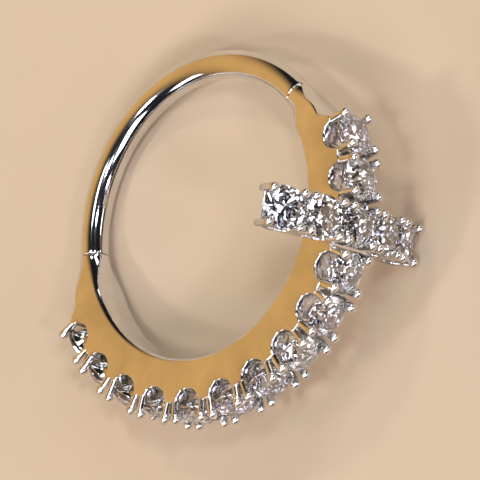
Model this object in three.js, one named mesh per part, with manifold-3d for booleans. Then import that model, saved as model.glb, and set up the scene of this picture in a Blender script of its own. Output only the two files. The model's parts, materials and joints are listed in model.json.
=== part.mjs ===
// A small nose ring. Half of its hoop carries one row of round stones in claws, and a short
// domed bar of the same stones crosses the row, so that the two make a cross.
// The other half is a plain round post, which goes through the piercing.
//
// Millimetres. The ring is made in its own frame: the hoop's axis is +Z and the cross lies at +X.
// It is then laid on its side, on the plane it would rest on by itself, with the cross towards -Y.
import * as THREE from "three";
import { ConvexHull } from "three/addons/math/ConvexHull.js";
import { mergeVertices } from "three/addons/utils/BufferGeometryUtils.js";
import Module from "manifold-3d";

// Hoop
const INNER_RADIUS = 4.0;
const BAND_WIDTH = 1.22;
const WALL_TOP_RADIUS = 5.25; // the metal left standing between two stones
const BAND_CORNER_RADIUS = 0.14;
const ROW_PITCH = THREE.MathUtils.degToRad(13.75);
const STONES_ABOVE_CROSS = 2;
const STONES_BELOW_CROSS = 10;
const ROW_END = THREE.MathUtils.degToRad(6.3); // full height runs this far past the last stone
const ROW_END_RADIUS = 4.9; // outer radius just past the row's last claws
const ROW_END_SLOPE = THREE.MathUtils.degToRad(3);
const SHOULDER_LENGTH = THREE.MathUtils.degToRad(20);
const SECTION_STEP = THREE.MathUtils.degToRad(4.6);

// Post
const POST_DIAMETER = 0.8;
const POST_CENTRE_RADIUS = INNER_RADIUS + POST_DIAMETER / 2;
const POST_STEPS = 26;
const SEAM_GAP = 0.04;

// Stones: round brilliants, all of one size
const STONE_RADIUS = 0.625;
const GIRDLE_RADIUS = 5.48; // from the hoop's axis to a row stone's girdle
const TABLE_RATIO = 0.56;
const STAR_RATIO = 0.7586;
const CULET_FACET_RATIO = 0.26;
const CROWN_HEIGHT = 0.19;
const GIRDLE_THICKNESS = 0.04;
const PAVILION_DEPTH = 0.532;
const STONE_CLEARANCE = 0.03;

// Cross bar
const DOME_RADIUS = 6.5; // the bar's girdles lie on this arc across the hoop
const BAR_PITCH = 1.27;
const BAR_STONES_EACH_SIDE = 2;
const BAR_WIDTH = 1.18;
const BAR_TOP_DEPTH = 0.22; // below the girdles
const BAR_BOTTOM_DEPTH = 0.78;
const BAR_END_TOP = 0.54; // past the last stone's centre
const BAR_END_BOTTOM = 0.12;

// Scallop: the round channel under each stone, cut straight through from side to side
const SCALLOP_RADIUS = 0.42;
const SCALLOP_DEPTH = 0.2; // its axis, below the girdle

// Claws: four to a stone
const CLAW_SPREAD = 0.49;
const CLAW_RADIUS = 0.11;
const CLAW_BEAD_RADIUS = 0.145;
const CLAW_FOOT = -0.56;
const CLAW_TIP = 0.34;

// Grams per cubic centimetre
const STEEL_DENSITY = 7.9;
const STONE_DENSITY = 5.8;

const steel = new THREE.MeshStandardMaterial({
  color: 0xd9d9dc,
  metalness: 1.0,
  roughness: 0.16,
});
const crystal = new THREE.MeshStandardMaterial({
  color: 0xf2f3fa,
  metalness: 0.0,
  roughness: 0.03,
});

const wasm = await Module();
wasm.setup();

// A closed BufferGeometry as a manifold solid.
function toSolid(geometry) {
  const bare = geometry.clone();
  bare.deleteAttribute("normal");
  bare.deleteAttribute("uv");
  const merged = mergeVertices(bare, 1e-5);
  return new wasm.Manifold(
    new wasm.Mesh({
      numProp: 3,
      vertProperties: merged.attributes.position.array,
      triVerts: new Uint32Array(merged.index.array),
    }),
  );
}

// A manifold solid as a BufferGeometry.
function toGeometry(solid) {
  const mesh = solid.getMesh();
  const geometry = new THREE.BufferGeometry();
  geometry.setAttribute("position", new THREE.BufferAttribute(mesh.vertProperties, 3));
  geometry.setIndex(new THREE.BufferAttribute(mesh.triVerts, 1));
  return geometry;
}

// A closed body through loops of points that all have the same count, with flat ends.
// The loops run clockwise, seen by one who looks back from the last to the first.
function loft(loops) {
  const count = loops[0].length;
  const positions = loops.flat().flatMap((p) => [p.x, p.y, p.z]);
  const index = [];
  for (let i = 0; i + 1 < loops.length; i++) {
    for (let j = 0; j < count; j++) {
      const a = i * count + j;
      const b = i * count + ((j + 1) % count);
      index.push(a, b + count, b, a, a + count, b + count);
    }
  }
  const last = (loops.length - 1) * count;
  for (let j = 1; j + 1 < count; j++) {
    index.push(0, j, j + 1);
    index.push(last, last + j + 1, last + j);
  }
  const geometry = new THREE.BufferGeometry();
  geometry.setAttribute("position", new THREE.Float32BufferAttribute(positions, 3));
  geometry.setIndex(index);
  return geometry;
}

// A rounded rectangle from radius low to radius high and as wide as width, in the plane through
// the hoop's axis at the given angle.
function hoopSection(angle, low, high, width, corner) {
  const loop = [];
  const corners = [
    [high - corner, width / 2 - corner, 0],
    [low + corner, width / 2 - corner, 1],
    [low + corner, -width / 2 + corner, 2],
    [high - corner, -width / 2 + corner, 3],
  ];
  for (const [r, z, quarter] of corners) {
    for (let k = 0; k <= 2; k++) {
      const turn = ((quarter + k / 2) * Math.PI) / 2;
      const radius = r + corner * Math.cos(turn);
      const height = z + corner * Math.sin(turn);
      loop.push(
        new THREE.Vector3(radius * Math.cos(angle), radius * Math.sin(angle), height),
      );
    }
  }
  return loop;
}

// The frame of a stone: its table faces +Z, and its origin is the middle of its girdle.
function rowPlace(angle) {
  return new THREE.Matrix4()
    .makeRotationZ(angle)
    .multiply(new THREE.Matrix4().makeTranslation(GIRDLE_RADIUS, 0, 0))
    .multiply(new THREE.Matrix4().makeRotationY(Math.PI / 2));
}

function barPlace(arc) {
  return new THREE.Matrix4()
    .makeTranslation(GIRDLE_RADIUS - DOME_RADIUS, 0, 0)
    .multiply(new THREE.Matrix4().makeRotationY(-arc / DOME_RADIUS))
    .multiply(new THREE.Matrix4().makeTranslation(DOME_RADIUS, 0, 0))
    .multiply(new THREE.Matrix4().makeRotationY(Math.PI / 2));
}

// A round brilliant, table up: eight mains, stars and halves, with a faceted girdle.
function brilliant(radius) {
  const ring = (r, height, count, offset) =>
    Array.from({ length: count }, (_, i) => {
      const turn = ((i + offset) * 2 * Math.PI) / count;
      return [r * Math.cos(turn), r * Math.sin(turn), height];
    });
  const half = GIRDLE_THICKNESS / 2;
  const onMain = (ratio, inner, outer) =>
    (ratio * Math.cos(Math.PI / 8) - inner) / (outer - inner);
  const starHeight = half + CROWN_HEIGHT * (1 - onMain(STAR_RATIO, TABLE_RATIO, 1));
  const halfDepth = -half - PAVILION_DEPTH * (1 - onMain(CULET_FACET_RATIO, 0, 1));
  const points = [
    ...ring(radius * TABLE_RATIO, half + CROWN_HEIGHT, 8, 0),
    ...ring(radius * STAR_RATIO, starHeight, 8, 0.5),
    ...ring(radius, half, 16, 0),
    ...ring(radius, -half, 16, 0),
    ...ring(radius * CULET_FACET_RATIO, halfDepth, 8, 0.5),
    [0, 0, -half - PAVILION_DEPTH],
  ];
  const table = (i) => i % 8;
  const star = (i) => 8 + (i % 8);
  const upper = (i) => 16 + (i % 16);
  const lower = (i) => 32 + (i % 16);
  const low = (i) => 48 + (i % 8);
  const culet = 56;
  const index = [];
  for (let i = 1; i < 7; i++) index.push(0, i, i + 1);
  for (let i = 0; i < 8; i++) {
    const before = i + 7;
    index.push(table(i), star(i), table(i + 1));
    index.push(table(i), upper(2 * i), star(i));
    index.push(table(i), star(before), upper(2 * i));
    index.push(star(i), upper(2 * i), upper(2 * i + 1));
    index.push(star(i), upper(2 * i + 1), upper(2 * i + 2));
    index.push(low(i), lower(2 * i + 1), lower(2 * i));
    index.push(low(i), lower(2 * i + 2), lower(2 * i + 1));
    index.push(culet, low(i), lower(2 * i));
    index.push(culet, lower(2 * i), low(before));
  }
  for (let i = 0; i < 16; i++) {
    index.push(upper(i), lower(i), lower(i + 1));
    index.push(upper(i), lower(i + 1), upper(i + 1));
  }
  const geometry = new THREE.BufferGeometry();
  geometry.setAttribute("position", new THREE.Float32BufferAttribute(points.flat(), 3));
  geometry.setIndex(index);
  return geometry;
}

// What is cut away to seat a stone: its own outline with a clearance all round.
function stoneSeat() {
  const radius = (STONE_RADIUS + STONE_CLEARANCE) / Math.cos(Math.PI / 16);
  const half = GIRDLE_THICKNESS / 2 + STONE_CLEARANCE / 2;
  const profile = [
    [0, -half - PAVILION_DEPTH - STONE_CLEARANCE],
    [radius, -half],
    [radius, half],
    [radius * TABLE_RATIO, half + CROWN_HEIGHT + STONE_CLEARANCE],
    [0, half + CROWN_HEIGHT + STONE_CLEARANCE],
  ].map(([x, y]) => new THREE.Vector2(x, y));
  return new THREE.LatheGeometry(profile, 16).rotateX(Math.PI / 2);
}

// One claw in its stone's frame: a round wire up from the metal, with a rounded tip.
function claw(x, y) {
  const profile = [
    [0, CLAW_FOOT],
    [CLAW_RADIUS, CLAW_FOOT],
    [CLAW_RADIUS, 0.06],
    [CLAW_BEAD_RADIUS, 0.17],
    [CLAW_BEAD_RADIUS * 0.66, CLAW_TIP - 0.03],
    [0, CLAW_TIP],
  ].map(([r, h]) => new THREE.Vector2(r, h));
  return new THREE.LatheGeometry(profile, 6).rotateX(Math.PI / 2).translate(x, y, 0);
}

// The channel under a stone, as a round bar along the stone's X or Y.
function scallop(length, acrossX) {
  const bar = new THREE.CylinderGeometry(SCALLOP_RADIUS, SCALLOP_RADIUS, length, 18);
  if (acrossX) bar.rotateZ(Math.PI / 2);
  return bar.translate(0, 0, -SCALLOP_DEPTH);
}

const rowTurns = [];
for (let i = STONES_ABOVE_CROSS; i >= -STONES_BELOW_CROSS; i--) {
  if (i !== 0) rowTurns.push(i * ROW_PITCH);
}
const barArcs = [];
for (let i = BAR_STONES_EACH_SIDE; i >= -BAR_STONES_EACH_SIDE; i--) {
  if (i !== 0) barArcs.push(i * BAR_PITCH);
}
const centrePlace = rowPlace(0);
const rowPlaces = rowTurns.map(rowPlace);
const barPlaces = barArcs.map(barPlace);

const rowStart = -STONES_BELOW_CROSS * ROW_PITCH - ROW_END;
const rowEnd = STONES_ABOVE_CROSS * ROW_PITCH + ROW_END;
const bandStart = rowStart - SHOULDER_LENGTH;
const bandEnd = rowEnd + SHOULDER_LENGTH;

// The band's section at an angle: full height along the row, then a shoulder down to the post.
function bandSection(angle) {
  const past = Math.max(angle - rowEnd, rowStart - angle, 0);
  if (past === 0) {
    return hoopSection(angle, INNER_RADIUS, WALL_TOP_RADIUS, BAND_WIDTH, BAND_CORNER_RADIUS);
  }
  const along = Math.max(0, (past - ROW_END_SLOPE) / (SHOULDER_LENGTH - ROW_END_SLOPE));
  const ease = THREE.MathUtils.smoothstep(along, 0, 1);
  const postTop = INNER_RADIUS + POST_DIAMETER + 0.02;
  const top = THREE.MathUtils.lerp(ROW_END_RADIUS, postTop, ease);
  const width = THREE.MathUtils.lerp(BAND_WIDTH, POST_DIAMETER + 0.02, ease);
  const corner = THREE.MathUtils.lerp(BAND_CORNER_RADIUS, POST_DIAMETER / 2, ease);
  return hoopSection(angle, INNER_RADIUS, top, width, corner);
}

function bandAngles() {
  const angles = [bandStart];
  const shoulder = SHOULDER_LENGTH - ROW_END_SLOPE;
  for (let k = 1; k <= 4; k++) angles.push(bandStart + (k * shoulder) / 4);
  const steps = Math.ceil((rowEnd - rowStart) / SECTION_STEP);
  for (let k = 0; k <= steps; k++) {
    angles.push(rowStart + (k * (rowEnd - rowStart)) / steps);
  }
  for (let k = 0; k <= 4; k++) angles.push(rowEnd + ROW_END_SLOPE + (k * shoulder) / 4);
  return angles;
}

// The bar's body: an arched strip under the bar's stones, with sloping ends.
function barBody() {
  const arcPoint = (arc, depth) => {
    const turn = arc / DOME_RADIUS;
    const radius = DOME_RADIUS - depth;
    return [GIRDLE_RADIUS - DOME_RADIUS + radius * Math.cos(turn), radius * Math.sin(turn)];
  };
  const reach = BAR_STONES_EACH_SIDE * BAR_PITCH;
  const steps = 12;
  const outline = [];
  for (let k = 0; k <= steps; k++) {
    outline.push(arcPoint((reach + BAR_END_TOP) * (1 - (2 * k) / steps), BAR_TOP_DEPTH));
  }
  for (let k = 0; k <= steps; k++) {
    outline.push(arcPoint((reach + BAR_END_BOTTOM) * ((2 * k) / steps - 1), BAR_BOTTOM_DEPTH));
  }
  const side = (y) => outline.map(([x, z]) => new THREE.Vector3(x, y, z));
  return loft([side(BAR_WIDTH / 2), side(-BAR_WIDTH / 2)]);
}

function settingHoop() {
  let metal = toSolid(loft(bandAngles().map(bandSection)));
  metal = metal.add(toSolid(barBody()));
  for (const place of [centrePlace, ...rowPlaces]) {
    metal = metal.subtract(toSolid(scallop(BAND_WIDTH + 0.1, true).applyMatrix4(place)));
  }
  for (const place of [centrePlace, ...barPlaces]) {
    metal = metal.subtract(toSolid(scallop(BAR_WIDTH + 0.1, false).applyMatrix4(place)));
  }
  const places = [centrePlace, ...rowPlaces, ...barPlaces];
  for (const place of places) {
    for (const x of [-CLAW_SPREAD, CLAW_SPREAD]) {
      for (const y of [-CLAW_SPREAD, CLAW_SPREAD]) {
        metal = metal.add(toSolid(claw(x, y).applyMatrix4(place)));
      }
    }
  }
  for (const place of places) {
    metal = metal.subtract(toSolid(stoneSeat().applyMatrix4(place)));
  }
  return toGeometry(metal);
}

function closingPost() {
  const from = bandEnd + SEAM_GAP / POST_CENTRE_RADIUS;
  const to = bandStart + 2 * Math.PI - SEAM_GAP / POST_CENTRE_RADIUS;
  const loops = [];
  for (let k = 0; k <= POST_STEPS; k++) {
    const angle = from + (k * (to - from)) / POST_STEPS;
    loops.push(
      Array.from({ length: 12 }, (_, i) => {
        const turn = (i * Math.PI) / 6;
        const radius = POST_CENTRE_RADIUS + (POST_DIAMETER / 2) * Math.cos(turn);
        return new THREE.Vector3(
          radius * Math.cos(angle),
          radius * Math.sin(angle),
          (POST_DIAMETER / 2) * Math.sin(turn),
        );
      }),
    );
  }
  return loft(loops);
}

const ring = new THREE.Group();

function addPiece(name, geometry, material) {
  geometry.computeVertexNormals();
  const mesh = new THREE.Mesh(geometry, material);
  mesh.name = name;
  ring.add(mesh);
  return mesh;
}

// A stone, turned in its seat as it happened to be set.
function addStone(name, place, number) {
  const mesh = addPiece(name, brilliant(STONE_RADIUS), crystal);
  mesh.applyMatrix4(place);
  mesh.rotateZ(THREE.MathUtils.degToRad((number * 17) % 45));
}

addPiece("setting_hoop", settingHoop(), steel);
addPiece("closing_post", closingPost(), steel);
rowPlaces.forEach((place, i) => {
  addStone(`stone_row_${String(i + 1).padStart(2, "0")}`, place, i);
});
addStone("stone_cross_centre", centrePlace, 3);
const barNames = ["upper_end", "upper", "lower", "lower_end"];
barPlaces.forEach((place, i) => {
  addStone(`stone_cross_${barNames[i]}`, place, i + 5);
});

// Volume and centroid of a closed mesh, from its triangles.
function massPoint(mesh) {
  mesh.updateMatrix();
  const geometry = mesh.geometry.index ? mesh.geometry.toNonIndexed() : mesh.geometry;
  const position = geometry.getAttribute("position");
  const centroid = new THREE.Vector3();
  let volume = 0;
  for (let i = 0; i < position.count; i += 3) {
    const [a, b, c] = [0, 1, 2].map((k) =>
      new THREE.Vector3().fromBufferAttribute(position, i + k).applyMatrix4(mesh.matrix),
    );
    const part = a.dot(b.clone().cross(c)) / 6;
    volume += part;
    centroid.addScaledVector(a.add(b).add(c), part / 4);
  }
  return { volume, centroid: centroid.divideScalar(volume) };
}

// The hull face that the ring rests on: on its -Z side, below its centre of mass, and the one
// of these that brings that centre lowest.
function restingFace(meshes) {
  const points = [];
  const centre = new THREE.Vector3();
  let mass = 0;
  for (const mesh of meshes) {
    const density = mesh.material === steel ? STEEL_DENSITY : STONE_DENSITY;
    const { volume, centroid } = massPoint(mesh);
    centre.addScaledVector(centroid, volume * density);
    mass += volume * density;
    const position = mesh.geometry.getAttribute("position");
    for (let i = 0; i < position.count; i++) {
      points.push(new THREE.Vector3().fromBufferAttribute(position, i).applyMatrix4(mesh.matrix));
    }
  }
  centre.divideScalar(mass);
  const under = (face) => {
    const below = face.normal
      .clone()
      .multiplyScalar(face.constant - face.normal.dot(centre))
      .add(centre);
    return [0, 1, 2].every((k) => {
      const edge = face.getEdge(k);
      const tail = edge.tail().point;
      const along = edge.head().point.clone().sub(tail);
      return along.cross(below.clone().sub(tail)).dot(face.normal) >= 0;
    });
  };
  const height = (face) => face.constant - face.normal.dot(centre);
  const faces = new ConvexHull().setFromPoints(points).faces;
  const sides = faces.filter((face) => face.normal.z < -0.9 && under(face));
  sides.sort((a, b) => height(a) - height(b));
  return sides[0];
}

// Lay the ring on that face, turn the cross to -Y, and set it on the origin.
function layDown(meshes) {
  const face = restingFace(meshes);
  const lay = new THREE.Quaternion().setFromUnitVectors(face.normal, new THREE.Vector3(0, 0, -1));
  const cross = new THREE.Vector3(1, 0, 0).applyQuaternion(lay);
  const toFront = -Math.PI / 2 - Math.atan2(cross.y, cross.x);
  const turn = new THREE.Quaternion().setFromAxisAngle(new THREE.Vector3(0, 0, 1), toFront);
  ring.quaternion.copy(turn.multiply(lay));
  ring.updateMatrixWorld(true);
  const box = new THREE.Box3().setFromObject(ring, true);
  ring.position.set(-(box.min.x + box.max.x) / 2, -(box.min.y + box.max.y) / 2, -box.min.z);
}

layDown(ring.children);

export default ring;
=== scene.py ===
"""The looks of the nose ring: a polished hoop with a row of claw-set stones and a cross bar."""

import json
import math

import bmesh
import bpy
from mathutils import Matrix, Vector

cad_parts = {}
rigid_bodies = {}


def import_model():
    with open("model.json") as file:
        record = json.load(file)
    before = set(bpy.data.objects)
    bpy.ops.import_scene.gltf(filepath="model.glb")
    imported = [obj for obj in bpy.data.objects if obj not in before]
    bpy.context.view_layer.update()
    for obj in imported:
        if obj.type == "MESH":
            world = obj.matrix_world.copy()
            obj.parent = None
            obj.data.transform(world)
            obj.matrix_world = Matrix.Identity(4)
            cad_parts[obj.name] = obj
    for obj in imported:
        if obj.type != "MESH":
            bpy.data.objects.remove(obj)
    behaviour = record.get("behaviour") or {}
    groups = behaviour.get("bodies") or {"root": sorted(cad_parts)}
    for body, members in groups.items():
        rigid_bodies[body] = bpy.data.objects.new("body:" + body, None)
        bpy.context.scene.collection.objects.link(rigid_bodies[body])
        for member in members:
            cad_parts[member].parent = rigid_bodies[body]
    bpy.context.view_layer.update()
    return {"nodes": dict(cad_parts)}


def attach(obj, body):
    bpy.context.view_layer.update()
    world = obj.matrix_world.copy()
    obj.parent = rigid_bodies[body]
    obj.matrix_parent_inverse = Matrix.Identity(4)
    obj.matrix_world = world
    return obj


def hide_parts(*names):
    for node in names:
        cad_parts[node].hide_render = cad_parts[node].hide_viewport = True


# The ring's sizes are in millimetres in the hoop's own frame, as in the CAD: the hoop's axis is
# Z and the middle of the cross lies at X. hoop_frame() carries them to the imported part.

# Hoop
INNER_RADIUS = 4.0
BAND_WIDTH = 1.22
WALL_TOP_RADIUS = 5.25
ROW_PITCH = math.radians(13.75)
STONES_ABOVE_CROSS = 2
STONES_BELOW_CROSS = 10
ROW_END = math.radians(6.3)
ROW_END_RADIUS = 4.9
ROW_END_SLOPE = math.radians(3)
SHOULDER_LENGTH = math.radians(20)
SHOULDER_STEPS = 16
SEAM_STEP = 0.02  # how much more the shoulders measure than the post at a seam

# Post
POST_DIAMETER = 0.8
POST_CENTRE_RADIUS = INNER_RADIUS + POST_DIAMETER / 2
POST_STEPS = 110
POST_SIDES = 36
SEAM_GAP = 0.04

# Stones
STONE_RADIUS = 0.625
GIRDLE_RADIUS = 5.48
TABLE_RATIO = 0.56
CROWN_HEIGHT = 0.19
GIRDLE_THICKNESS = 0.04
PAVILION_DEPTH = 0.532

# Cross bar
DOME_RADIUS = 6.5
BAR_PITCH = 1.27
BAR_STONES_EACH_SIDE = 2
BAR_WIDTH = 1.18
BAR_TOP_DEPTH = 0.22
BAR_BOTTOM_DEPTH = 0.78
BAR_END_TOP = 0.54
BAR_END_BOTTOM = 0.12

# Scallops
SCALLOP_RADIUS = 0.42
SCALLOP_DEPTH = 0.2
SCALLOP_STEPS = 20
WALL_FILLET = 0.07
WALL_FILLET_STEPS = 5

# Rounding of the metal's edges
RIM_BEVEL = 0.045
INNER_BEVEL = 0.15
BEVEL_STEPS = 6
END_BEVEL = 0.035
SEAM_BEVEL = 0.021
END_BEVEL_STEPS = 3
END_BEVEL_SHRINK = 1.6  # how far a rounded end draws in for its length

# Claws
CLAW_SPREAD = 0.49
CLAW_RADIUS = 0.11
CLAW_BEAD_RADIUS = 0.142
CLAW_FOOT = -0.56
CLAW_TIP = 0.335
CLAW_NECK = 0.12  # where the wire starts to swell into its bead
CLAW_NECK_LEAN = 0.006
CLAW_BEAD_LEAN = 0.02
CLAW_BEAD_STEPS = 10
CLAW_WIRE_STEPS = 8
CLAW_SIDES = 20
STONE_GRIP = 0.012

# Seats: a thin cone under each stone of the row, open below
SEAT_TOP = -0.1
SEAT_BOTTOM = -0.36
SEAT_WALL = 0.04
SEAT_CLEARANCE = 0.012
SEAT_LIP_STEPS = 6
SEAT_SIDES = 40

# Metal and stones
METAL_TONES = ((0.66, 0.655, 0.645), (0.78, 0.78, 0.78))
METAL_ROUGHNESS = (0.05, 0.13)
STONE_INDEX = 2.35
STONE_TINTS = {
    "clear_stone_white": (0.93, 0.92, 0.98),
    "clear_stone_cool": (0.84, 0.88, 0.99),
    "clear_stone_lilac": (0.90, 0.83, 0.99),
}

# Studio, in metres
FLOOR_COLOUR = (0.52, 0.40, 0.27)
FLOOR_RADIUS = 1.5
ROOM_COLOUR = (0.012, 0.012, 0.014)
WALL_COLOUR = (0.80, 0.45, 0.15)
WALL_FADE = (0.35, 0.92)  # how far towards +Y the wall starts, and where it has its full colour
LIGHT_DISTANCE = 1.2

# The camera's directions in the hoop's frame: 44 degrees from the hoop's axis, towards the cross.
TO_CAMERA = Vector((0.685, -0.119, 0.720))
CAMERA_RIGHT = Vector((0.726, 0.152, -0.666))
CAMERA_DISTANCE = 0.25  # metres
CAMERA_SENSOR = 36  # millimetres
FRAME_FILL = 0.80


def centroid(node):
    """The mean of a node's corners, each counted once."""
    corners = {tuple(round(c, 7) for c in v.co) for v in node.data.vertices}
    return sum((Vector(c) for c in corners), Vector()) / len(corners)


def hoop_frame(nodes):
    """The matrix from the hoop's frame, in millimetres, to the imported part."""
    a, b, c = (centroid(nodes[f"stone_row_{n:02d}"]) for n in (1, 7, 12))
    u, v = b - a, c - a
    w = u.cross(v)
    middle = a + (w.cross(u) * v.length_squared + v.cross(w) * u.length_squared) / (
        2 * w.length_squared
    )
    z = w.normalized() * (1 if w.z > 0 else -1)
    x = centroid(nodes["stone_cross_centre"]) - middle
    x = (x - z * x.dot(z)).normalized()
    y = z.cross(x)
    turn = Matrix((x, y, z)).transposed().to_4x4()
    return Matrix.Translation(middle) @ turn @ Matrix.Scale(0.001, 4)


def row_place(angle):
    """The frame of a stone in the row: its table faces +Z, and its girdle is about the origin."""
    return (
        Matrix.Rotation(angle, 4, "Z")
        @ Matrix.Translation((GIRDLE_RADIUS, 0, 0))
        @ Matrix.Rotation(math.pi / 2, 4, "Y")
    )


def bar_place(arc):
    """The frame of a stone in the cross bar."""
    return (
        Matrix.Translation((GIRDLE_RADIUS - DOME_RADIUS, 0, 0))
        @ Matrix.Rotation(-arc / DOME_RADIUS, 4, "Y")
        @ Matrix.Translation((DOME_RADIUS, 0, 0))
        @ Matrix.Rotation(math.pi / 2, 4, "Y")
    )


def smoothstep(t):
    t = min(1, max(0, t))
    return t * t * (3 - 2 * t)


def lerp(a, b, t):
    return a + (b - a) * t


def polar(radius, angle):
    return Vector((radius * math.cos(angle), radius * math.sin(angle)))


def fillet(a, corner, b, steps):
    """Points that round off a corner, from a to b."""
    points = []
    for k in range(steps + 1):
        t = k / steps
        points.append(a * (1 - t) ** 2 + corner * (2 * t * (1 - t)) + b * t**2)
    return points


def scallop(angle, girdle_radius, top_radius):
    """One rounded notch in an outline about the origin, and the fillets to the walls beside it."""
    depth = girdle_radius - SCALLOP_DEPTH
    lip = math.sqrt(top_radius**2 - SCALLOP_RADIUS**2)
    start = math.asin((depth - lip + WALL_FILLET) / SCALLOP_RADIUS)
    notch = []
    for k in range(SCALLOP_STEPS + 1):
        phi = lerp(math.pi - start, start, k / SCALLOP_STEPS)
        notch.append(
            Vector((depth - SCALLOP_RADIUS * math.sin(phi), SCALLOP_RADIUS * math.cos(phi)))
        )
    edge = math.asin(SCALLOP_RADIUS / top_radius)
    top = polar(top_radius, edge + WALL_FILLET / top_radius)
    corner = polar(top_radius, edge)
    after = fillet(notch[-1], corner, top, WALL_FILLET_STEPS)[1:]
    before = [Vector((p.x, -p.y)) for p in reversed(after)]
    turn = Matrix.Rotation(angle, 2)
    return [turn @ p for p in before + notch + after]


def outward_normals(points):
    """The unit normals of an open outline that runs anticlockwise round the origin."""
    normals = []
    for i in range(len(points)):
        along = points[min(i + 1, len(points) - 1)] - points[max(i - 1, 0)]
        normals.append(Vector((along.y, -along.x)).normalized())
    return normals


def quarter_turn(corner, across, inward, bevel):
    """The points of a rounded edge at the side of a strip, from its face round to its flank."""
    points = []
    for k in range(BEVEL_STEPS + 1):
        turn = k / BEVEL_STEPS * math.pi / 2
        point = corner + inward * (bevel * (1 - math.cos(turn)))
        points.append((point, across - bevel * (1 - math.sin(turn))))
    return points


def strip_loop(outer, outer_normal, inner, inner_normal, half_width, rim, inside):
    """One closed section of a strip, as (point in the outline's plane, height across it)."""
    top = quarter_turn(outer, half_width, -outer_normal, rim)
    bottom = quarter_turn(inner, half_width, inner_normal, inside)
    side = top + bottom[::-1]
    return side + [(p, -h) for p, h in reversed(side)]


def skin(bm, loops, round_trip=False):
    """Skins a tube of loops that all have the same count: flat ends, or closed on itself."""
    rings = [[bm.verts.new(p) for p in loop] for loop in loops]
    count = len(rings[0])
    if round_trip:
        rings.append(rings[0])
        faces = []
    else:
        faces = [bm.faces.new(rings[0][::-1]), bm.faces.new(rings[-1])]
    for a, b in zip(rings, rings[1:]):
        for j in range(count):
            k = (j + 1) % count
            faces.append(bm.faces.new((a[j], a[k], b[k], b[j])))
    bmesh.ops.recalc_face_normals(bm, faces=faces)


def rounded_ends(loops, bevel):
    """Adds smaller loops beyond the first and last, so that a strip's ends have rounded edges."""

    def capped(first, second):
        middle = sum(first, Vector()) / len(first)
        reach = (middle - sum(second, Vector()) / len(second)).normalized()
        size = max((p - middle).length for p in first)
        extra = []
        for k in range(1, END_BEVEL_STEPS + 1):
            turn = k / END_BEVEL_STEPS * math.pi / 2
            shrink = 1 - bevel * (1 - math.cos(turn)) / size * END_BEVEL_SHRINK
            extra.append(
                [middle + (p - middle) * shrink + reach * (bevel * math.sin(turn)) for p in first]
            )
        return extra

    return capped(loops[0], loops[1])[::-1] + loops + capped(loops[-1], loops[-2])


def band_loops():
    """The sections of the hoop's band, from one seam with the post to the other."""
    row_start = -STONES_BELOW_CROSS * ROW_PITCH - ROW_END
    row_end = STONES_ABOVE_CROSS * ROW_PITCH + ROW_END
    post_top = INNER_RADIUS + POST_DIAMETER + SEAM_STEP

    def shoulder(past):
        """Past the row: how far the section has turned into the post's, from 0 to 1."""
        return smoothstep((past - ROW_END_SLOPE) / (SHOULDER_LENGTH - ROW_END_SLOPE))

    def end_outline():
        """(angle past the row, radius) from the row's full height down to the seam."""

        def shoulder_point(past):
            return Vector((past, lerp(ROW_END_RADIUS, post_top, shoulder(past))))

        before_full = Vector((-0.012, WALL_TOP_RADIUS))
        full = Vector((0, WALL_TOP_RADIUS))
        low = Vector((ROW_END_SLOPE, ROW_END_RADIUS))
        down = low - full
        after_low = shoulder_point(low.x + 0.022)
        points = fillet(before_full, full, full + down * 0.3, 6)
        points += fillet(low - down * 0.4, low, after_low, 8)
        for k in range(1, SHOULDER_STEPS + 1):
            points.append(shoulder_point(lerp(after_low.x, SHOULDER_LENGTH, k / SHOULDER_STEPS)))
        return points

    tail = end_outline()
    outline = [polar(p.y, row_start - p.x) for p in reversed(tail)]
    for i in range(-STONES_BELOW_CROSS, STONES_ABOVE_CROSS + 1):
        outline += scallop(i * ROW_PITCH, GIRDLE_RADIUS, WALL_TOP_RADIUS)
    outline += [polar(p.y, row_end + p.x) for p in tail]

    loops = []
    for point, normal in zip(outline, outward_normals(outline)):
        angle = math.atan2(point.y, point.x)
        while angle > math.radians(90):
            angle -= 2 * math.pi
        blend = shoulder(max(angle - row_end, row_start - angle, 0))
        width = lerp(BAND_WIDTH, POST_DIAMETER + SEAM_STEP, blend)
        rim = lerp(RIM_BEVEL, POST_DIAMETER / 2, blend)
        inside = lerp(INNER_BEVEL, POST_DIAMETER / 2, blend)
        inner = polar(INNER_RADIUS, angle)
        section = strip_loop(point, normal, inner, inner.normalized(), width / 2, rim, inside)
        loops.append([Vector((p.x, p.y, height)) for p, height in section])
    return rounded_ends(loops, SEAM_BEVEL)


def bar_loops():
    """The sections of the cross bar, from its lower end to its upper end."""
    top_radius = DOME_RADIUS - BAR_TOP_DEPTH
    bottom_radius = DOME_RADIUS - BAR_BOTTOM_DEPTH
    reach = BAR_STONES_EACH_SIDE * BAR_PITCH
    end_top = (reach + BAR_END_TOP) / DOME_RADIUS
    end_bottom = (reach + BAR_END_BOTTOM) / DOME_RADIUS
    outline = [polar(top_radius, -end_top)]
    for i in range(-BAR_STONES_EACH_SIDE, BAR_STONES_EACH_SIDE + 1):
        outline += scallop(i * BAR_PITCH / DOME_RADIUS, DOME_RADIUS, top_radius)
    outline.append(polar(top_radius, end_top))

    loops = []
    for point, normal in zip(outline, outward_normals(outline)):
        angle = math.atan2(point.y, point.x)
        inner = polar(bottom_radius, angle * end_bottom / end_top)
        section = strip_loop(
            point, normal, inner, inner.normalized(), BAR_WIDTH / 2, RIM_BEVEL, RIM_BEVEL * 1.4
        )
        shift = GIRDLE_RADIUS - DOME_RADIUS
        loops.append([Vector((p.x + shift, height, p.y)) for p, height in section])
    return rounded_ends(loops, END_BEVEL)


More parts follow.
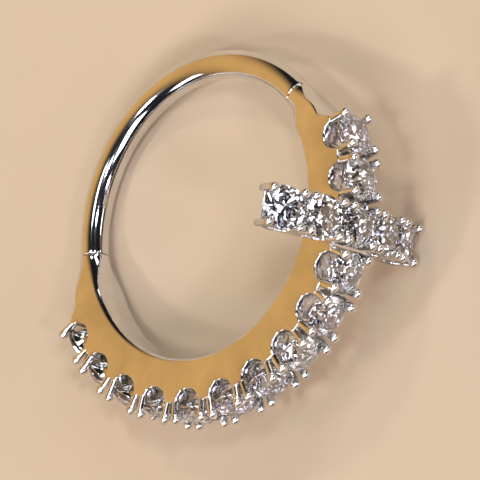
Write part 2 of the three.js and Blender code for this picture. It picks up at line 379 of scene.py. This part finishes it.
def stone_reach(height):
    """How far a stone reaches from its axis at a height above its girdle's middle."""
    half = GIRDLE_THICKNESS / 2
    if height > half:
        down = (height - half) / CROWN_HEIGHT
        return lerp(STONE_RADIUS, STONE_RADIUS * TABLE_RATIO, down) if down <= 1 else 0
    if height < -half:
        return STONE_RADIUS * max(0, 1 - (-half - height) / PAVILION_DEPTH)
    return STONE_RADIUS


def claw_loops(side_x, side_y):
    """One claw in its stone's frame: a round wire with a beaded tip that leans over the stone.

    Its profile lists (height, radius, lean towards the stone's axis).
    """
    profile = [(CLAW_FOOT, CLAW_RADIUS * 0.9, 0), (-0.3, CLAW_RADIUS, 0)]
    for k in range(CLAW_WIRE_STEPS + 1):
        profile.append((lerp(-0.2, 0.1, k / CLAW_WIRE_STEPS), CLAW_RADIUS, 0))
    profile.append((CLAW_NECK, lerp(CLAW_RADIUS, CLAW_BEAD_RADIUS, 0.4), CLAW_NECK_LEAN))
    for k in range(CLAW_BEAD_STEPS + 1):
        turn = lerp(-0.16, 0.5, k / CLAW_BEAD_STEPS) * math.pi
        height = CLAW_TIP - CLAW_BEAD_RADIUS + CLAW_BEAD_RADIUS * math.sin(turn)
        radius = max(CLAW_BEAD_RADIUS * math.cos(turn), 0.004)
        profile.append((height, radius, CLAW_BEAD_LEAN))
    out = Vector((side_x, side_y, 0)).normalized()
    loops = []
    for height, radius, lean in profile:
        middle = Vector((side_x * CLAW_SPREAD, side_y * CLAW_SPREAD, height)) - out * lean
        loop = []
        for i in range(CLAW_SIDES):
            turn = 2 * math.pi * i / CLAW_SIDES
            point = middle + Vector((math.cos(turn), math.sin(turn), 0)) * radius
            flat = Vector((point.x, point.y, 0))
            least = stone_reach(height) + STONE_GRIP
            if stone_reach(height) > 0 and flat.length < least:
                flat = flat.normalized() * least
                point = Vector((flat.x, flat.y, point.z))
            loop.append(point)
        loops.append(loop)
    return loops


def seat_loops():
    """The thin cone that a stone sits over, in the stone's frame, as sections round its axis."""
    top, bottom = (
        Vector((stone_reach(height) + SEAT_CLEARANCE + SEAT_WALL / 2, height))
        for height in (SEAT_TOP, SEAT_BOTTOM)
    )
    along = (top - bottom).normalized()
    across = Vector((along.y, -along.x))
    outline = []
    for end, way in ((top, 1), (bottom, -1)):
        for k in range(SEAT_LIP_STEPS + 1):
            turn = k / SEAT_LIP_STEPS * math.pi
            edge = across * math.cos(turn) + along * math.sin(turn)
            outline.append(end + edge * (way * SEAT_WALL / 2))
    loops = []
    for i in range(SEAT_SIDES):
        turn = 2 * math.pi * i / SEAT_SIDES
        loops.append([Vector((p.x * math.cos(turn), p.x * math.sin(turn), p.y)) for p in outline])
    return loops


def new_piece(name, bm, matrix, material):
    """A smooth-shaded object from a bmesh that is in millimetres in the hoop's frame."""
    mesh = bpy.data.meshes.new(name)
    bm.to_mesh(mesh)
    bm.free()
    mesh.transform(matrix)
    mesh.materials.append(material)
    mesh.shade_smooth()
    piece = bpy.data.objects.new(name, mesh)
    bpy.context.scene.collection.objects.link(piece)
    return piece


def setting_metal(matrix, material):
    bm = bmesh.new()
    skin(bm, band_loops())
    skin(bm, bar_loops())
    row_places = [
        row_place(i * ROW_PITCH) for i in range(-STONES_BELOW_CROSS, STONES_ABOVE_CROSS + 1)
    ]
    bar_places = [
        bar_place(i * BAR_PITCH)
        for i in range(-BAR_STONES_EACH_SIDE, BAR_STONES_EACH_SIDE + 1)
        if i != 0
    ]
    for place in row_places + bar_places:
        for side_x in (-1, 1):
            for side_y in (-1, 1):
                skin(bm, [[place @ p for p in loop] for loop in claw_loops(side_x, side_y)])
    for place in row_places:
        skin(bm, [[place @ p for p in loop] for loop in seat_loops()], round_trip=True)
    return new_piece("hoop_and_cross", bm, matrix, material)


def post_metal(matrix, material):
    band_end = STONES_ABOVE_CROSS * ROW_PITCH + ROW_END + SHOULDER_LENGTH
    band_start = -STONES_BELOW_CROSS * ROW_PITCH - ROW_END - SHOULDER_LENGTH
    gap = (SEAM_GAP + END_BEVEL) / POST_CENTRE_RADIUS
    loops = []
    for k in range(POST_STEPS + 1):
        angle = lerp(band_end + gap, band_start + 2 * math.pi - gap, k / POST_STEPS)
        loop = []
        for i in range(POST_SIDES):
            turn = 2 * math.pi * i / POST_SIDES
            point = polar(POST_CENTRE_RADIUS + POST_DIAMETER / 2 * math.cos(turn), angle)
            loop.append(Vector((point.x, point.y, POST_DIAMETER / 2 * math.sin(turn))))
        loops.append(loop)
    bm = bmesh.new()
    skin(bm, rounded_ends(loops, END_BEVEL))
    return new_piece("post", bm, matrix, material)


def add_node(tree, kind, inputs=None, **settings):
    node = tree.nodes.new(kind)
    for key, value in settings.items():
        setattr(node, key, value)
    for key, value in (inputs or {}).items():
        node.inputs[key].default_value = value
    return node


def new_material(name):
    """A node material with an empty Principled shader: (material, tree, shader)."""
    material = bpy.data.materials.new(name)
    material.use_nodes = True
    tree = material.node_tree
    return material, tree, tree.nodes["Principled BSDF"]


def polished_steel():
    """Bright polished metal: faint polishing lines, soft unevenness and slight handling wear."""
    material, tree, shader = new_material("bright_polished_metal")
    shader.inputs["Metallic"].default_value = 1.0
    link = tree.links.new
    where = add_node(tree, "ShaderNodeTexCoord")

    cloud = add_node(tree, "ShaderNodeTexNoise", {"Scale": 900.0, "Detail": 3.0})
    link(where.outputs["Object"], cloud.inputs["Vector"])
    tone = add_node(tree, "ShaderNodeValToRGB")
    tone.color_ramp.elements[0].position = 0.3
    tone.color_ramp.elements[0].color = (*METAL_TONES[0], 1)
    tone.color_ramp.elements[1].position = 0.7
    tone.color_ramp.elements[1].color = (*METAL_TONES[1], 1)
    link(cloud.outputs["Fac"], tone.inputs["Fac"])
    link(tone.outputs["Color"], shader.inputs["Base Color"])

    stretch = add_node(tree, "ShaderNodeMapping")
    stretch.inputs["Scale"].default_value = (4000.0, 4000.0, 60000.0)
    link(where.outputs["Object"], stretch.inputs["Vector"])
    lines = add_node(tree, "ShaderNodeTexNoise", {"Scale": 1.0, "Detail": 4.0, "Roughness": 0.6})
    link(stretch.outputs["Vector"], lines.inputs["Vector"])
    least, most = METAL_ROUGHNESS
    gloss = add_node(tree, "ShaderNodeMapRange", {"To Min": least, "To Max": most})
    link(lines.outputs["Fac"], gloss.inputs["Value"])
    link(gloss.outputs["Result"], shader.inputs["Roughness"])

    bump = add_node(tree, "ShaderNodeBump", {"Strength": 0.06, "Distance": 0.000004})
    link(lines.outputs["Fac"], bump.inputs["Height"])
    link(bump.outputs["Normal"], shader.inputs["Normal"])
    return material


def clear_stone(name, tint):
    """Colourless cut stone with a high index; only its tint varies a little."""
    material, tree, shader = new_material(name)
    shader.inputs["Transmission Weight"].default_value = 1.0
    shader.inputs["IOR"].default_value = STONE_INDEX
    shader.inputs["Roughness"].default_value = 0.0
    link = tree.links.new
    where = add_node(tree, "ShaderNodeTexCoord")
    cloud = add_node(tree, "ShaderNodeTexNoise", {"Scale": 1400.0, "Detail": 2.0})
    link(where.outputs["Object"], cloud.inputs["Vector"])
    tone = add_node(tree, "ShaderNodeValToRGB")
    tone.color_ramp.elements[0].position = 0.35
    tone.color_ramp.elements[0].color = (*tint, 1)
    tone.color_ramp.elements[1].position = 0.65
    tone.color_ramp.elements[1].color = (1.0, 1.0, 1.0, 1)
    link(cloud.outputs["Fac"], tone.inputs["Fac"])
    link(tone.outputs["Color"], shader.inputs["Base Color"])
    return material


def floor_material():
    material, tree, shader = new_material("pale_sand_paper")
    shader.inputs["Roughness"].default_value = 0.85
    link = tree.links.new
    where = add_node(tree, "ShaderNodeTexCoord")
    grain = add_node(tree, "ShaderNodeTexNoise", {"Scale": 700.0, "Detail": 4.0})
    link(where.outputs["Object"], grain.inputs["Vector"])
    tone = add_node(tree, "ShaderNodeValToRGB")
    tone.color_ramp.elements[0].color = (*[c * 0.97 for c in FLOOR_COLOUR], 1)
    tone.color_ramp.elements[1].color = (*FLOOR_COLOUR, 1)
    link(grain.outputs["Fac"], tone.inputs["Fac"])
    link(tone.outputs["Color"], shader.inputs["Base Color"])
    return material


def make_floor():
    bm = bmesh.new()
    bmesh.ops.create_circle(bm, cap_ends=True, radius=FLOOR_RADIUS, segments=64)
    mesh = bpy.data.meshes.new("floor")
    bm.to_mesh(mesh)
    bm.free()
    mesh.materials.append(floor_material())
    floor = bpy.data.objects.new("floor", mesh)
    bpy.context.scene.collection.objects.link(floor)


def make_world():
    """A dark studio with a warm wall behind the ring, which the hoop's flat side reflects."""
    world = bpy.data.worlds.new("studio")
    bpy.context.scene.world = world
    world.use_nodes = True
    tree = world.node_tree
    link = tree.links.new
    where = add_node(tree, "ShaderNodeTexCoord")
    split = add_node(tree, "ShaderNodeSeparateXYZ")
    link(where.outputs["Generated"], split.inputs["Vector"])
    start, full = WALL_FADE
    behind = add_node(tree, "ShaderNodeMapRange", {"From Min": start, "From Max": full})
    behind.interpolation_type = "SMOOTHSTEP"
    link(split.outputs["Y"], behind.inputs["Value"])
    wall = add_node(tree, "ShaderNodeMix", data_type="RGBA")
    link(behind.outputs["Result"], wall.inputs["Factor"])
    wall.inputs["A"].default_value = (*ROOM_COLOUR, 1)
    wall.inputs["B"].default_value = (*WALL_COLOUR, 1)
    link(wall.outputs["Result"], tree.nodes["Background"].inputs["Color"])


def softbox(name, azimuth, elevation, width, height, radiance, colour):
    """A soft light that faces the ring, with all its angles in degrees as the ring sees them.

    Azimuth 0 is in front of the ring, and grows towards +X.
    """
    data = bpy.data.lights.new(name, "AREA")
    data.shape = "RECTANGLE"
    data.size = 2 * LIGHT_DISTANCE * math.tan(math.radians(width / 2))
    data.size_y = 2 * LIGHT_DISTANCE * math.tan(math.radians(height / 2))
    data.energy = radiance * math.pi * data.size * data.size_y
    data.color = colour
    light = bpy.data.objects.new(name, data)
    a, e = math.radians(azimuth), math.radians(elevation)
    back = Vector((math.sin(a) * math.cos(e), -math.cos(a) * math.cos(e), math.sin(e)))
    light.location = back * LIGHT_DISTANCE
    light.rotation_mode = "QUATERNION"
    light.rotation_quaternion = back.to_track_quat("Z", "Y")
    bpy.context.scene.collection.objects.link(light)


def make_lights():
    softbox("key", -66, 50, 30, 22, 6.5, (0.95, 0.94, 1.0))
    softbox("right", 66, 34, 10, 34, 7.3, (0.88, 0.92, 1.0))
    softbox("front", 4, 18, 34, 7, 7.3, (0.96, 0.94, 1.0))
    softbox("left", -116, 22, 22, 9, 7.3, (0.96, 0.94, 1.0))
    softbox("overhead", 150, 80, 20, 10, 5.2, (0.95, 0.93, 1.0))
    softbox("glint_blue", 26, 62, 6, 6, 57.2, (0.72, 0.84, 1.0))
    softbox("glint_lilac", -16, 40, 6, 6, 57.2, (0.90, 0.78, 1.0))
    softbox("glint_high", -52, 76, 6, 6, 57.2, (0.96, 0.95, 1.0))
    softbox("glint_white", -134, 56, 6, 6, 57.2, (1.0, 1.0, 1.0))
    softbox("glint_warm", 106, 56, 6, 6, 39.0, (1.0, 0.90, 0.74))


def make_camera(nodes, to_part):
    turn = to_part.to_3x3().normalized()
    back = (turn @ TO_CAMERA).normalized()
    right = turn @ CAMERA_RIGHT
    right = (right - back * right.dot(back)).normalized()
    up = back.cross(right)
    points = [v.co for node in nodes.values() for v in node.data.vertices]
    spans = []
    for axis in (right, up):
        along = [p.dot(axis) for p in points]
        spans.append((min(along), max(along)))
    depth = sum(p.dot(back) for p in points) / len(points)
    aim = back * depth
    for axis, (low, high) in zip((right, up), spans):
        aim += axis * ((low + high) / 2)
    half = max(high - low for low, high in spans) / 2 / FRAME_FILL

    data = bpy.data.cameras.new("camera")
    data.sensor_width = CAMERA_SENSOR
    data.lens = data.sensor_width / 2 * CAMERA_DISTANCE / half
    data.clip_start = 0.005
    data.clip_end = 10
    camera = bpy.data.objects.new("camera", data)
    camera.matrix_world = Matrix.Translation(aim + back * CAMERA_DISTANCE) @ (
        Matrix((right, up, back)).transposed().to_4x4()
    )
    bpy.context.scene.collection.objects.link(camera)
    bpy.context.scene.camera = camera


for leftover in list(bpy.data.objects):
    bpy.data.objects.remove(leftover)

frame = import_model()
nodes = frame["nodes"]
to_part = hoop_frame(nodes)
make_camera(nodes, to_part)

steel = polished_steel()
hoop = setting_metal(to_part, steel)
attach(hoop, "root")
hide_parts("setting_hoop")
post = post_metal(to_part, steel)
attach(post, "root")
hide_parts("closing_post")

stone_materials = [clear_stone(name, tint) for name, tint in STONE_TINTS.items()]
stones = sorted(name for name in nodes if name.startswith("stone"))
for number, name in enumerate(stones):
    nodes[name].material_slots[0].material = stone_materials[number % len(stone_materials)]

make_floor()
make_world()
make_lights()

scene = bpy.context.scene
scene.cycles.max_bounces = 32
scene.cycles.transmission_bounces = 24
scene.cycles.glossy_bounces = 12
scene.cycles.caustics_refractive = True
scene.cycles.caustics_reflective = True
scene.view_settings.view_transform = "Standard"
